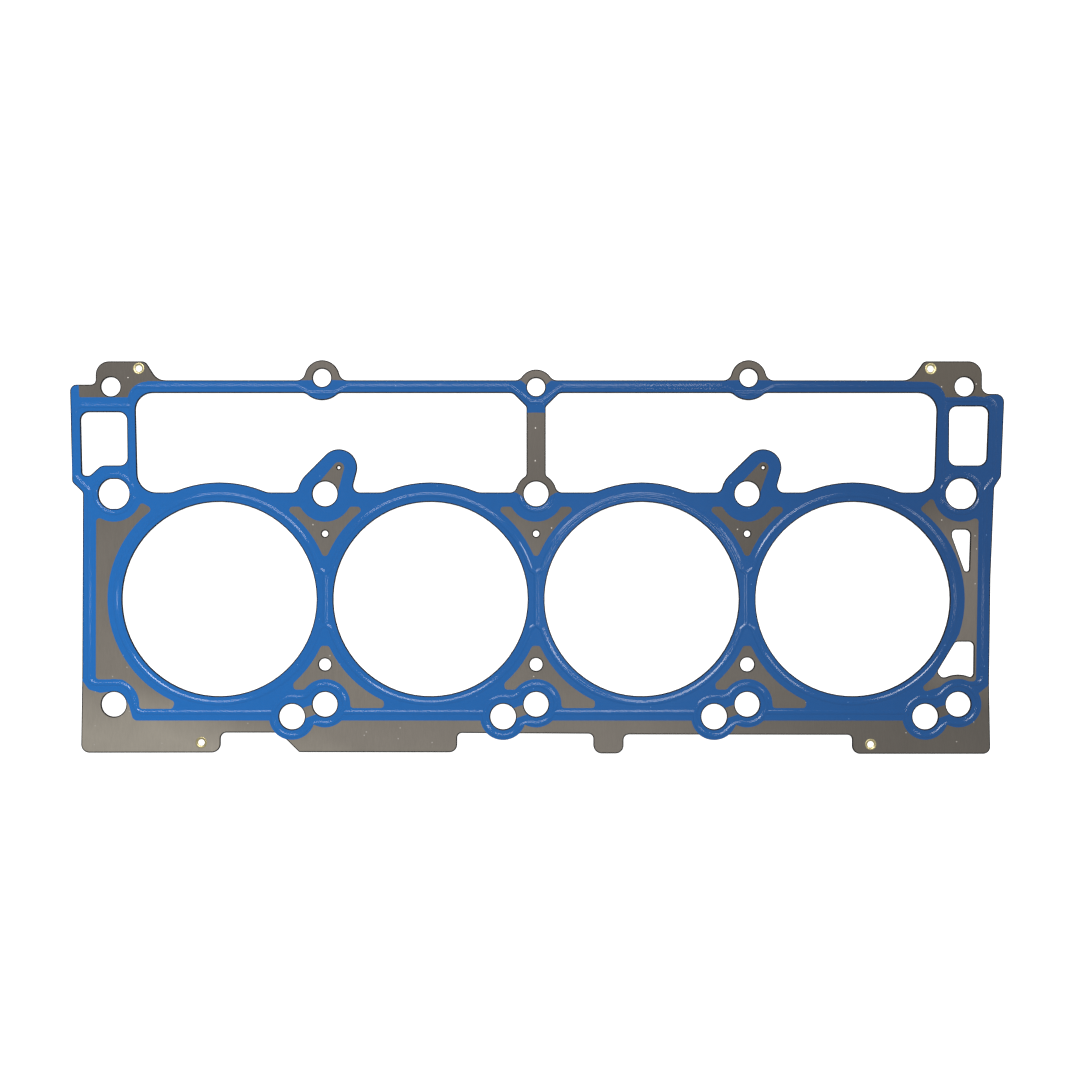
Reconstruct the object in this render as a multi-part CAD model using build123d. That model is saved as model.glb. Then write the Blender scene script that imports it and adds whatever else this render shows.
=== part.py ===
"""Multi-layer steel cylinder head gasket for one bank of a V8 with four bores.

Two thin bead layers lie on either side of a thicker spacer layer. The combustion
beads are pressed into the bead layers, blue rubber with narrow raised beads of its own
is printed on both faces, and four rolled brass eyelets hold the stack together until
the cylinder head is bolted down.

Frame: origin at the centre of the bore row, on the plane that the gasket lies on.
+X runs along the bore row, +Y points to the side with the pushrod windows, +Z is up.
All lengths are in millimetres.
"""

import os
from math import asin, cos, degrees, radians, sin, sqrt

from build123d import *

# Sheet thicknesses
BEAD_SHEET = 0.25
SPACER_SHEET = 0.55
RUBBER_FILM = 0.06

# Bores
BORE_COUNT = 4
BORE_RADIUS = 52.1
WEB_WIDTH = 9.1

# Head bolts, in an upper and a lower row
BOLT_ROW_Y = 56.5
BOLT_HOLE_RADIUS = 6.6

# Second hole beside each lower bolt but the first
EXTRA_HOLE_RADIUS = 6.8
EXTRA_HOLE_BACK = 17.7
EXTRA_HOLE_DROP = 6.6

# Dowel holes at the ends of the upper row, round with a few flats
RIGHT_DOWEL_OUT = 1.6
DOWEL_HOLE_RADIUS = 8.2
DOWEL_FLAT_DISTANCE = 7.95
LEFT_DOWEL_FLATS = (90, 270)
RIGHT_DOWEL_FLATS = (30, 150, 270)

# Rail along the upper edge, with three lugs and a tab at each end
RAIL_OUTER_Y = 117.5
RAIL_WIDTH = 6.9
TAB_TOP_Y = 127.7
LUG_RADIUS = 9.5
LUG_BULGE_RADIUS = 12.1
LUG_FILLET = 4.5
LUG_BULGE_FILLET = 4.0

# Small bolts through the lugs and the tabs
LUG_BOLT_XS = (-114.9, 114.1)
LUG_BOLT_RISE = 1.3
LUG_BOLT_RADIUS = 4.8
MIDDLE_BOLT_DROP = 3.7
LEFT_END_BOLT_OUT = 1.7
RIGHT_END_BOLT_OUT = 3.3
END_BOLT_Y = 114.0
END_BOLT_RADIUS = 5.1

# Strut from the middle lug down to the middle bolt
STRUT_WIDTH = 10.4
STRUT_FLARE_WIDTH = 25.2
STRUT_FLARE_DEPTH = 7.4
STRUT_FOOT_RADIUS = 11.1
STRUT_FILLET = 2.0

# Lobes that carry the oil feed holes, beside two of the upper bolts
OIL_FEED_ACROSS = (7.4, 8.6)
OIL_FEED_UP = 14.1
OIL_FEED_RADIUS = 0.8
OIL_LOBE_RADIUS = 9.9
OIL_LOBE_ROOT_RADIUS = 14.1
OIL_LOBE_ROOT_SHIFT = (-0.7, 0.2)

# Vent holes above the webs and coolant holes below them
WEB_HOLE_Y = 35.1
VENT_HOLE_RADIUS = 1.65
COOLANT_HOLE_RADII = (3.2, 3.4, 3.7)

# Steel left between a hole and the window or the edge beside it
BORE_LOBE_WALL = 10.6
PAIR_BOSS_WALL = 5.8
SLOT_BOLT_WALL = 9.4
BORE_LOBE_FILLET = 10.0
WINDOW_FLOOR_FILLET = 3.6

# Lower edge
RECESS_Y = -72.2
LOWER_TAB_Y = -82.6

# Ends, from the outermost bolts to the edge, and the tops of the windows there
SIDE_BAND_OUT = 17.3
LEFT_WINDOW_TOP_Y = 100.3
RIGHT_WINDOW_TOP_Y = 103.4

# Eyelets
EYELET_BORE_RADIUS = 1.7
EYELET_BARREL_WALL = 0.35
EYELET_RIM_RADIUS = 3.05
EYELET_RIM_HEIGHT = 0.15
EYELET_FLARE_DEPTH = 0.3

# Beads
BEAD_HEIGHT = 0.2
BEAD_CROWN = 0.7
BORE_BEAD_WIDTH = 3.0
BORE_BEAD_OFFSET = 3.8
WEB_BEAD_HALF_LENGTH = 13.8
WEB_JOG = 3.6
WEB_JOG_LEAD = 1.4
WEB_JOG_BEND = 2.5
EDGE_BEAD_WIDTH = 2.6
EDGE_BEAD_BEND = 4.0
BOLT_CORNER_BEND = 8.0
EDGE_BEAD_INSET = 3.9
END_WINDOW_BEAD_RISE = 3.4
LOWER_BEAD_DROP = 4.4
LUG_BEAD_OFFSET = 3.4
LUG_BEAD_REACH = 14.0
BOLT_BEAD_OFFSET = 2.5
DOWEL_BEAD_OFFSET = 2.2
PAIR_BEAD_OFFSET = 3.8
PAIR_BEAD_WAIST = 8.0
OIL_TIP_BEAD_RADIUS = 6.4

# Edge of the printed rubber
BORE_PRINT_BAND = 8.0
BOLT_PRINT_BAND = 8.4
PAIR_PATCH_BAND = 7.0
PAIR_PRINT_BAND = 5.8
PAIR_PRINT_WAIST = 3.0
PAIR_STRIP_WIDTH = 4.6
PAIR_STRIP_DROP = 0.5
RAIL_BEND_RADIUS = 10.5
OIL_PATCH_TIP_RADIUS = 2.9
OIL_PATCH_ROOT_RADIUS = 5.6
PRINT_CORNER = 1.8

# Levels of the stack, from the crown of the lowest bead upward
LOWER_LAYER_Z = BEAD_HEIGHT + RUBBER_FILM
SPACER_Z = LOWER_LAYER_Z + BEAD_SHEET
UPPER_LAYER_Z = SPACER_Z + SPACER_SHEET
FILM_Z = UPPER_LAYER_Z + BEAD_SHEET

# Places along the sheet that follow from the bores and the webs between them
BORE_PITCH = 2 * BORE_RADIUS + WEB_WIDTH
bore_xs = [(i - (BORE_COUNT - 1) / 2) * BORE_PITCH for i in range(BORE_COUNT)]
bolt_xs = [(i - BORE_COUNT / 2) * BORE_PITCH for i in range(BORE_COUNT + 1)]
web_xs = bolt_xs[1:-1]
LEFT = bolt_xs[0]
RIGHT = bolt_xs[-1]
LEFT_EDGE_X = LEFT - SIDE_BAND_OUT
RIGHT_EDGE_X = RIGHT + SIDE_BAND_OUT
RAIL_INNER_Y = RAIL_OUTER_Y - RAIL_WIDTH
WINDOW_FLOOR_Y = BOLT_ROW_Y + 0.8

bores = [(x, 0) for x in bore_xs]
upper_bolts = [(x, BOLT_ROW_Y) for x in web_xs]
lower_bolts = [(x, -BOLT_ROW_Y) for x in bolt_xs]
paired_bolts = lower_bolts[1:]
extra_holes = [(x - EXTRA_HOLE_BACK, y - EXTRA_HOLE_DROP) for x, y in paired_bolts]
dowels = [(LEFT, BOLT_ROW_Y), (RIGHT + RIGHT_DOWEL_OUT, BOLT_ROW_Y)]
lug_bolts = [(x, RAIL_OUTER_Y + LUG_BOLT_RISE) for x in LUG_BOLT_XS]
middle_bolt = (0, RAIL_OUTER_Y - MIDDLE_BOLT_DROP)
end_bolts = [(LEFT - LEFT_END_BOLT_OUT, END_BOLT_Y), (RIGHT + RIGHT_END_BOLT_OUT, END_BOLT_Y)]
oil_bolts = [upper_bolts[0], upper_bolts[-1]]
oil_feeds = [
    (x + across, y + OIL_FEED_UP) for (x, y), across in zip(oil_bolts, OIL_FEED_ACROSS)
]
eyelet_spots = {
    "eyelet_upper_left": (LEFT + 13.3, TAB_TOP_Y - 3.9),
    "eyelet_upper_right": (RIGHT - 14.8, TAB_TOP_Y - 4.1),
    "eyelet_lower_left": (LEFT + 46.9, LOWER_TAB_Y + 5.6),
    "eyelet_lower_right": (RIGHT - 47.0, LOWER_TAB_Y + 4.6),
}


# Flat shapes


def rounded(*corners):
    """A flat outline through corners given as (x, y, corner radius)."""
    points = [(x, y) for x, y, _ in corners]
    radii = [radius for _, _, radius in corners]
    return make_face(FilletPolyline(*points, radius=radii, close=True))


def discs(spots, radius):
    """Flat discs of one radius at each spot."""
    return Sketch() + [Pos(*spot) * Circle(radius) for spot in spots]


def drop_shape(start, end, start_radius, end_radius):
    """Two discs of different sizes, joined by the straight sides that touch both."""
    start_disc = Pos(*start) * Circle(start_radius)
    end_disc = Pos(*end) * Circle(end_radius)
    return make_hull([*start_disc.edges(), *end_disc.edges()])


def eased(sketch, radius, spots):
    """A flat shape with the corner nearest to each spot rounded."""
    corners = [sketch.vertices().sort_by_distance((x, y, 0))[0] for x, y in spots]
    return fillet(corners, radius)


# Steel sheet


def outer_edge():
    """Outline of the sheet, clockwise from its upper left tab."""
    return rounded(
        (LEFT - 9.9, TAB_TOP_Y, 7.2),
        (LEFT + 16.9, TAB_TOP_Y, 3.7),
        (LEFT + 23.3, RAIL_OUTER_Y, 8.0),
        (RIGHT - 25.6, RAIL_OUTER_Y, 8.0),
        (RIGHT - 18.4, TAB_TOP_Y, 3.0),
        (RIGHT + 12.8, TAB_TOP_Y, 7.2),
        (RIGHT + 12.8, 110.2, 4.0),
        (RIGHT + 24.9, 110.2, 4.4),
        (RIGHT + 23.1, 65.8, 3.0),
        (RIGHT + 19.4, 60.0, 3.0),
        (RIGHT_EDGE_X + 0.1, 12.0, 90.0),
        (RIGHT_EDGE_X - 0.7, -46.5, 60.0),
        (RIGHT_EDGE_X, LOWER_TAB_Y - 0.5, 3.8),
        (RIGHT - 57.0, LOWER_TAB_Y - 0.5, 4.3),
        (RIGHT - 57.0, RECESS_Y - 0.7, 2.5),
        (47.0, RECESS_Y - 0.5, 2.9),
        (47.0, LOWER_TAB_Y - 0.3, 4.3),
        (30.7, LOWER_TAB_Y - 0.3, 4.6),
        (30.7, RECESS_Y - 0.1, 2.7),
        (-42.3, RECESS_Y + 0.3, 2.5),
        (-42.3, LOWER_TAB_Y + 0.3, 4.3),
        (LEFT + 99.4, LOWER_TAB_Y + 0.4, 1.0),
        (LEFT + 88.8, RECESS_Y + 0.5, 1.0),
        (LEFT + 57.3, RECESS_Y + 0.5, 3.2),
        (LEFT + 57.3, LOWER_TAB_Y + 0.2, 4.8),
        (LEFT_EDGE_X - 0.4, LOWER_TAB_Y + 0.1, 4.4),
        (LEFT_EDGE_X + 0.2, -42.0, 60.0),
        (LEFT_EDGE_X + 0.6, 57.2, 2.5),
        (LEFT - 22.5, 62.8, 2.5),
        (LEFT - 23.7, 115.2, 3.5),
        (LEFT - 9.9, 115.2, 2.5),
    )


def pushrod_windows():
    """The two long windows between the rail and the bores."""
    left = rounded(
        (LEFT + 11.5, RAIL_INNER_Y, 9.0),
        (-STRUT_WIDTH / 2, RAIL_INNER_Y, 0),
        (-STRUT_WIDTH / 2, WINDOW_FLOOR_Y, 0),
        (LEFT + 12.8, WINDOW_FLOOR_Y, 10.2),
    )
    right = rounded(
        (STRUT_WIDTH / 2, RAIL_INNER_Y, 0),
        (RIGHT - 11.3, RAIL_INNER_Y, 9.8),
        (RIGHT - 13.1, WINDOW_FLOOR_Y, 9.3),
        (STRUT_WIDTH / 2, WINDOW_FLOOR_Y, 0),
    )
    return left + right


def end_windows():
    """The small window at each end, above the dowel hole."""
    left = rounded(
        (LEFT - 17.8, LEFT_WINDOW_TOP_Y, 4.2),
        (LEFT + 6.9, LEFT_WINDOW_TOP_Y, 4.4),
        (LEFT + 7.2, 71.8, 4.0),
        (LEFT - 6.9, 71.8, 5.5),
        (LEFT - 12.9, 66.3, 2.4),
        (LEFT - 17.0, 66.3, 1.9),
    )
    right = rounded(
        (RIGHT - 4.7, RIGHT_WINDOW_TOP_Y, 4.1),
        (RIGHT + 16.2, RIGHT_WINDOW_TOP_Y, 4.1),
        (RIGHT + 15.0, 71.8, 4.4),
        (RIGHT - 4.9, 71.8, 4.0),
    )
    return left + right


def right_slots():
    """The two slots between the last bore and the right edge."""
    upper = rounded(
        (RIGHT - 3.4, 37.2, 2.2),
        (RIGHT + 6.5, 37.2, 2.8),
        (RIGHT + 5.8, 14.9, 1.1),
        (RIGHT + 3.5, 14.9, 1.1),
        (RIGHT - 3.2, 33.5, 1.5),
    )
    lower = rounded(
        (RIGHT - 1.4, -22.9, 2.4),
        (RIGHT + 8.3, -22.9, 2.6),
        (RIGHT + 8.1, -42.0, 2.4),
        (RIGHT - 8.8, -42.0, 2.0),
        (RIGHT - 11.3, -39.2, 1.9),
    )
    wall = discs(lower_bolts[-1:], BOLT_HOLE_RADIUS + SLOT_BOLT_WALL)
    return upper + (lower - wall)


def dowel_hole(spot, flat_angles):
    """A round hole with a flat across it at each angle."""
    hole = Circle(DOWEL_HOLE_RADIUS)
    size = 2 * DOWEL_HOLE_RADIUS
    for angle in flat_angles:
        beyond_flat = Pos(DOWEL_FLAT_DISTANCE + size / 2, 0) * Rectangle(size, size)
        hole -= Rot(0, 0, angle) * beyond_flat
    return Pos(*spot) * hole


def round_holes():
    """Every hole in the sheet but the bores, the windows and the slots."""
    holes = discs(upper_bolts + lower_bolts, BOLT_HOLE_RADIUS)
    holes += discs(extra_holes, EXTRA_HOLE_RADIUS)
    holes += dowel_hole(dowels[0], LEFT_DOWEL_FLATS)
    holes += dowel_hole(dowels[1], RIGHT_DOWEL_FLATS)
    holes += discs(end_bolts, END_BOLT_RADIUS)
    holes += discs(lug_bolts + [middle_bolt], LUG_BOLT_RADIUS)
    holes += discs([(x, WEB_HOLE_Y) for x in web_xs], VENT_HOLE_RADIUS)
    for x, radius in zip(web_xs, COOLANT_HOLE_RADII):
        holes += discs([(x, -WEB_HOLE_Y)], radius)
    holes += discs(oil_feeds, OIL_FEED_RADIUS)
    holes += discs(eyelet_spots.values(), EYELET_BORE_RADIUS + EYELET_BARREL_WALL)
    return holes


def rail_lugs():
    """The rounded lugs on the rail, and the flare of the strut under the middle one."""
    bulges = discs(lug_bolts, LUG_BULGE_RADIUS)
    bulges &= Pos(0, RAIL_INNER_Y - RAIL_WIDTH / 2) * Rectangle(2 * RIGHT, 2 * RAIL_WIDTH)
    flare_y = RAIL_INNER_Y - STRUT_FLARE_DEPTH
    flare = Polygon(
        (-STRUT_WIDTH / 2, flare_y),
        (STRUT_WIDTH / 2, flare_y),
        (STRUT_FLARE_WIDTH / 2, RAIL_INNER_Y),
        (-STRUT_FLARE_WIDTH / 2, RAIL_INNER_Y),
        align=None,
    )
    return discs(lug_bolts + [middle_bolt], LUG_RADIUS) + bulges + flare


def lobes_over_bores():
    """The part of the sheet that rises into the windows over each bore."""
    lobes = discs(bores, BORE_RADIUS + BORE_LOBE_WALL)
    reach = BORE_RADIUS + BORE_LOBE_WALL - WINDOW_FLOOR_Y
    strip = Pos(0, WINDOW_FLOOR_Y + reach / 2) * Rectangle(2 * RIGHT, reach)
    return lobes & strip


def where_round_meets(spots, radius, level):
    """The points at both sides where circles round the spots cross a level line."""
    halves = [sqrt(radius**2 - (y - level) ** 2) for _, y in spots]
    return [(x + side * half, level) for (x, _), half in zip(spots, halves) for side in (-1, 1)]


def eased_plan(plan):
    """The sheet with the inward corners at its lugs, lobes and strut rounded."""
    lobe_feet = where_round_meets(bores, BORE_RADIUS + BORE_LOBE_WALL, WINDOW_FLOOR_Y)
    plan = eased(plan, BORE_LOBE_FILLET, lobe_feet)
    lug_feet = where_round_meets(lug_bolts + [middle_bolt], LUG_RADIUS, RAIL_OUTER_Y)
    plan = eased(plan, LUG_FILLET, lug_feet)
    bulge_feet = where_round_meets(lug_bolts, LUG_BULGE_RADIUS, RAIL_INNER_Y)
    plan = eased(plan, LUG_BULGE_FILLET, bulge_feet)
    roots = [(x + shift, y) for (x, y), shift in zip(oil_bolts, OIL_LOBE_ROOT_SHIFT)]
    floor_feet = where_round_meets(roots, OIL_LOBE_ROOT_RADIUS, WINDOW_FLOOR_Y)
    floor_feet += where_round_meets(upper_bolts[1:-1], STRUT_FOOT_RADIUS, WINDOW_FLOOR_Y)
    plan = eased(plan, WINDOW_FLOOR_FILLET, floor_feet)
    half = STRUT_WIDTH / 2
    flare = [(side * STRUT_FLARE_WIDTH / 2, RAIL_INNER_Y) for side in (-1, 1)]
    plan = eased(plan, WINDOW_FLOOR_FILLET, flare)
    foot_top = BOLT_ROW_Y + sqrt(STRUT_FOOT_RADIUS**2 - half**2)
    levels = (RAIL_INNER_Y - STRUT_FLARE_DEPTH, foot_top)
    ends = [(side * half, level) for side in (-1, 1) for level in levels]
    return eased(plan, STRUT_FILLET, ends)


def sheet_plan():
    """The flat shape that all three steel layers share."""
    plan = outer_edge() - pushrod_windows()
    plan += rail_lugs()
    plan += discs(upper_bolts[1:-1], STRUT_FOOT_RADIUS)
    plan += lobes_over_bores()
    for (x, y), shift, feed in zip(oil_bolts, OIL_LOBE_ROOT_SHIFT, oil_feeds):
        plan += drop_shape((x + shift, y), feed, OIL_LOBE_ROOT_RADIUS, OIL_LOBE_RADIUS)
    plan += discs(extra_holes, EXTRA_HOLE_RADIUS + PAIR_BOSS_WALL)
    plan = eased_plan(plan)
    plan -= discs(bores, BORE_RADIUS)
    return plan - end_windows() - right_slots() - round_holes()


# Printed rubber


def softened(patch):
    """A flat patch with its outward corners rounded."""
    shrunk = offset(patch, -PRINT_CORNER, kind=Kind.ARC)
    return offset(shrunk, PRINT_CORNER, kind=Kind.ARC)


def web_patches():
    """Bare triangles above and below each web."""
    patches = Sketch()
    for x in web_xs:
        patches += rounded(
            (x - 20.5, BOLT_ROW_Y - 6.9, 0),
            (x + 19.6, BOLT_ROW_Y - 6.9, 0),
            (x + 19.6, WEB_HOLE_Y - 12.5, 0),
            (x - 20.5, WEB_HOLE_Y - 12.5, 0),
        )
        patches += rounded(
            (x - 17.0, 10.0 - WEB_HOLE_Y, 0),
            (x + 31.6, 10.0 - WEB_HOLE_Y, 0),
            (x + 31.6, -BOLT_ROW_Y - 2.0, 0),
            (x, -BOLT_ROW_Y - 2.0, 0),
            (x, -BOLT_ROW_Y + 7.9, 0),
            (x - 17.0, -BOLT_ROW_Y + 7.9, 0),
        )
    return patches


def end_fields():
    """Bare fields between the end bores and the ends of the sheet."""
    left = rounded(
        (LEFT - 9.5, 43.6, 0),
        (LEFT - 0.4, 43.6, 0),
        (LEFT + 13.2, 52.7, 0),
        (LEFT + 20.8, 48.5, 0),
        (bore_xs[0], 0, 0),
        (LEFT + 32.8, -55.0, 0),
        (LEFT + 31.4, -58.9, 0),
        (LEFT + 12.6, -58.9, 0),
        (LEFT + 11.2, -50.6, 5.0),
        (LEFT + 5.6, -43.1, 5.0),
        (LEFT - 9.7, -43.1, 0),
    )
    right = rounded(
        (RIGHT + 0.4, 44.3, 0),
        (RIGHT + 10.9, 44.3, 0),
        (RIGHT + 9.5, -44.2, 0),
        (RIGHT, -44.2, 0),
        (RIGHT - 17.6, -49.6, 0),
        (RIGHT - 20.6, -46.0, 0),
        (bore_xs[-1], 0, 0),
        (RIGHT - 20.6, 48.6, 0),
        (RIGHT - 15.2, 53.5, 0),
        (RIGHT - 11.0, 53.5, 0),
    )
    return left + right


def bottom_field():
    """Bare steel along the lower edge, with its tabs."""
    floor_y = LOWER_TAB_Y - 10
    field = rounded(
        (LEFT - 30, -43.8, 0),
        (LEFT - 16.9, -43.8, 0),
        (LEFT - 13.4, -48.6, 3.0),
        (LEFT - 7.4, -50.3, 3.0),
        (LEFT + 2.6, -50.3, 3.0),
        (LEFT + 8.0, -56.6, 3.0),
        (LEFT + 10.4, -65.2, 3.0),
        (RIGHT, -65.2, 0),
        (RIGHT, -58.0, 0),
        (RIGHT + 10.0, -51.2, 1.0),
        (RIGHT + 17.2, -46.2, 0),
        (RIGHT + 30, -46.2, 0),
        (RIGHT + 30, floor_y, 0),
        (LEFT - 30, floor_y, 0),
    )
    for pair in zip(paired_bolts, extra_holes):
        band = discs(pair, BOLT_HOLE_RADIUS + PAIR_PRINT_BAND)
        waist = band.vertices().sort_by(Axis.Y)[0]
        field -= fillet(waist, PAIR_PRINT_WAIST)
    return field


def upper_caps():
    """Bare caps on the upper tabs and on the three lugs of the rail."""
    over_y = TAB_TOP_Y + 5
    bend_y = RAIL_INNER_Y - 4.4
    bends = [(LEFT + 17.8, bend_y), (RIGHT - 17.2, bend_y)]
    caps = rounded(
        (LEFT - 18.6, over_y, 0),
        (LEFT - 18.6, 108.3, 0.8),
        (bends[0][0], 108.3, 0),
        (bends[0][0], RAIL_OUTER_Y - 0.5, 0),
        (LEFT + 32.6, RAIL_OUTER_Y + 0.2, 0),
        (LEFT + 32.6, over_y, 0),
    )
    caps += rounded(
        (RIGHT - 32.6, over_y, 0),
        (RIGHT - 32.6, RAIL_OUTER_Y + 0.2, 0),
        (bends[1][0], RAIL_OUTER_Y - 1.0, 0),
        (bends[1][0], 108.3, 0),
        (RIGHT + 4.4, 108.3, 2.0),
        (RIGHT + 8.0, 109.0, 2.0),
        (RIGHT + 14.2, 108.4, 2.0),
        (RIGHT + 19.2, 110.8, 0),
        (RIGHT + 19.2, over_y, 0),
    )
    caps -= discs(bends, RAIL_BEND_RADIUS)
    for x, y in lug_bolts:
        caps += Pos(x, y - 0.8 + LUG_RADIUS) * Rectangle(3 * LUG_RADIUS, 2 * LUG_RADIUS)
    middle_y = middle_bolt[1]
    caps += rounded(
        (-14, over_y, 0),
        (-14, RAIL_OUTER_Y + 0.2, 0),
        (-8, RAIL_OUTER_Y - 0.2, 1.0),
        (-3.6, middle_y + 0.6, 0),
        (3.6, middle_y + 0.6, 0),
        (8, RAIL_OUTER_Y - 0.2, 1.0),
        (14, RAIL_OUTER_Y + 0.2, 0),
        (14, over_y, 0),
    )
    return caps


def strut_patch():
    """Bare steel from the middle strut down round the bolt hole under it."""
    top_y = RAIL_INNER_Y - STRUT_FLARE_DEPTH - 3.5
    foot_y = BOLT_ROW_Y + 1.5
    half = STRUT_WIDTH / 2 + 1
    shaft = Pos(0, (top_y + foot_y) / 2) * Rectangle(2 * half, top_y - foot_y)
    foot = Polygon(
        (-half, foot_y - 3.6),
        (half, foot_y - 3.6),
        (12, foot_y),
        (12, foot_y + 11),
        (-12, foot_y + 11),
        (-12, foot_y),
        align=None,
    )
    return shaft + foot


def pair_strips():
    """A bare strip between the two holes of each pair."""
    strips = Sketch()
    for bolt, extra in zip(paired_bolts, extra_holes):
        line = Line(extra, bolt)
        middle = Plane(origin=line @ 0.5, x_dir=line % 0.5, z_dir=(0, 0, 1))
        strip = Pos(0, -PAIR_STRIP_DROP) * Rectangle(line.length, PAIR_STRIP_WIDTH)
        strips += middle * strip
    return strips


def print_plan(sheet):
    """The flat shape of the rubber printed on a sheet."""
    inner = web_patches() + end_fields()
    inner -= discs(bores, BORE_RADIUS + BORE_PRINT_BAND)
    inner -= discs(upper_bolts + dowels, BOLT_HOLE_RADIUS + BOLT_PRINT_BAND)
    inner -= discs(lower_bolts, BOLT_HOLE_RADIUS + PAIR_PATCH_BAND)
    plan = sheet - [softened(patch) for patch in inner.faces()]
    plan -= bottom_field()
    plan -= upper_caps()
    plan -= strut_patch()
    plan -= pair_strips()
    for bolt, feed in zip(oil_bolts, oil_feeds):
        plan -= drop_shape(bolt, feed, OIL_PATCH_ROOT_RADIUS, OIL_PATCH_TIP_RADIUS)
    return plan


# Beads, modelled as ridges that stand on the plane z = 0


def bead_section(width):
    """The trapezium that a bead shows when it is cut across."""
    return Polygon(
        (-width / 2, 0),
        (width / 2, 0),
        (BEAD_CROWN / 2, BEAD_HEIGHT),
        (-BEAD_CROWN / 2, BEAD_HEIGHT),
        align=None,
    )


def ring_bead(spot, radius, width):
    """A bead in a full circle."""
    section = Plane.XZ * Pos(radius, 0) * bead_section(width)
    return Pos(*spot) * revolve(section, Axis.Z)


def bead_along(path, width):
    """A bead whose middle line follows a flat path."""
    along = path % 0
    across = Vector(0, 0, 1).cross(along)
    start = Plane(origin=path @ 0, x_dir=across, z_dir=along)
    return sweep(start * bead_section(width), path=path)


def arc_bead(spot, radius, width, start, sweep_angle):
    """A bead along part of a circle, from one angle in degrees round by another."""
    section = Plane.XZ * Pos(radius, 0) * bead_section(width)
    arc = revolve(section, Axis.Z, revolution_arc=sweep_angle)
    return Pos(*spot) * Rot(0, 0, start) * arc


def bore_beads():
    """A ring round each bore, drawn in to one straight ridge at each web."""
    radius = BORE_RADIUS + BORE_BEAD_OFFSET
    leave_y = WEB_BEAD_HALF_LENGTH + WEB_JOG
    leave = degrees(asin(leave_y / radius))
    leave_x = BORE_PITCH / 2 - radius * cos(radians(leave))
    lead_x = leave_x - WEB_JOG_LEAD * sin(radians(leave))
    lead_y = leave_y - WEB_JOG_LEAD * cos(radians(leave))
    beads = Part()
    for spot in bores[1:-1]:
        for start in (leave, 180 + leave):
            beads += arc_bead(spot, radius, BORE_BEAD_WIDTH, start, 180 - 2 * leave)
    for spot, start in ((bores[0], leave), (bores[-1], 180 + leave)):
        beads += arc_bead(spot, radius, BORE_BEAD_WIDTH, start, 360 - 2 * leave)
    for x in web_xs:
        for side in (-1, 1):
            path = FilletPolyline(
                (x + side * leave_x, leave_y),
                (x + side * lead_x, lead_y),
                (x, WEB_BEAD_HALF_LENGTH),
                (x, -WEB_BEAD_HALF_LENGTH),
                (x + side * lead_x, -lead_y),
                (x + side * leave_x, -leave_y),
                radius=WEB_JOG_BEND,
            )
            beads += bead_along(path, BORE_BEAD_WIDTH)
    return beads


def hole_bead_paths():
    """Closed paths round the bolt holes: drops at the oil lobes, pairs along the lower edge."""
    paths = []
    for bolt, feed in zip(oil_bolts, oil_feeds):
        root_radius = BOLT_HOLE_RADIUS + BOLT_BEAD_OFFSET
        drop = drop_shape(bolt, feed, root_radius, OIL_TIP_BEAD_RADIUS)
        paths.append(drop.faces()[0].outer_wire())
    for pair in zip(paired_bolts, extra_holes):
        outline = discs(pair, BOLT_HOLE_RADIUS + PAIR_BEAD_OFFSET)
        outline = fillet(outline.vertices(), PAIR_BEAD_WAIST)
        paths.append(outline.faces()[0].outer_wire())
    return paths


def end_bead_paths():
    """Open paths down both ends of the sheet and round the end windows."""
    line_y = -BOLT_ROW_Y - LOWER_BEAD_DROP
    bolt_y = -BOLT_ROW_Y + BOLT_HOLE_RADIUS + 1.15 * EDGE_BEAD_INSET
    left_x = LEFT_EDGE_X + EDGE_BEAD_INSET
    right_x = RIGHT_EDGE_X - EDGE_BEAD_INSET
    left_top = LEFT_WINDOW_TOP_Y + END_WINDOW_BEAD_RISE
    right_top = RIGHT_WINDOW_TOP_Y + END_WINDOW_BEAD_RISE
    left_band_x = LEFT + 9.1
    right_band_x = RIGHT - 7.8
    rail_y = RAIL_OUTER_Y - RAIL_WIDTH / 2
    left = [
        (LEFT + 85.0, line_y),
        (LEFT + 12.3, line_y),
        (LEFT + 8.0, bolt_y),
        (left_x, bolt_y),
        (left_x, 58.5),
        (left_x - 7.6, 65.5),
        (left_x - 7.8, left_top),
        (left_band_x, left_top),
    ]
    right = [
        (RIGHT + 3.0, bolt_y),
        (right_x, bolt_y),
        (right_x + 1.2, 59.0),
        (right_x + 5.8, 64.5),
        (right_x + 6.2, right_top),
        (right_band_x, right_top),
    ]
    left_band = [
        (left_band_x, BOLT_ROW_Y),
        (left_band_x, rail_y),
        (lug_bolts[0][0] - LUG_BEAD_REACH, rail_y),
    ]
    right_band = [
        (right_band_x, BOLT_ROW_Y),
        (right_band_x, rail_y),
        (lug_bolts[1][0] + LUG_BEAD_REACH, rail_y),
    ]
    left_bends = [EDGE_BEAD_BEND, BOLT_CORNER_BEND] + [EDGE_BEAD_BEND] * (len(left) - 4)
    return [(left, left_bends)] + [(points, EDGE_BEAD_BEND) for points in (right, left_band, right_band)]


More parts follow.
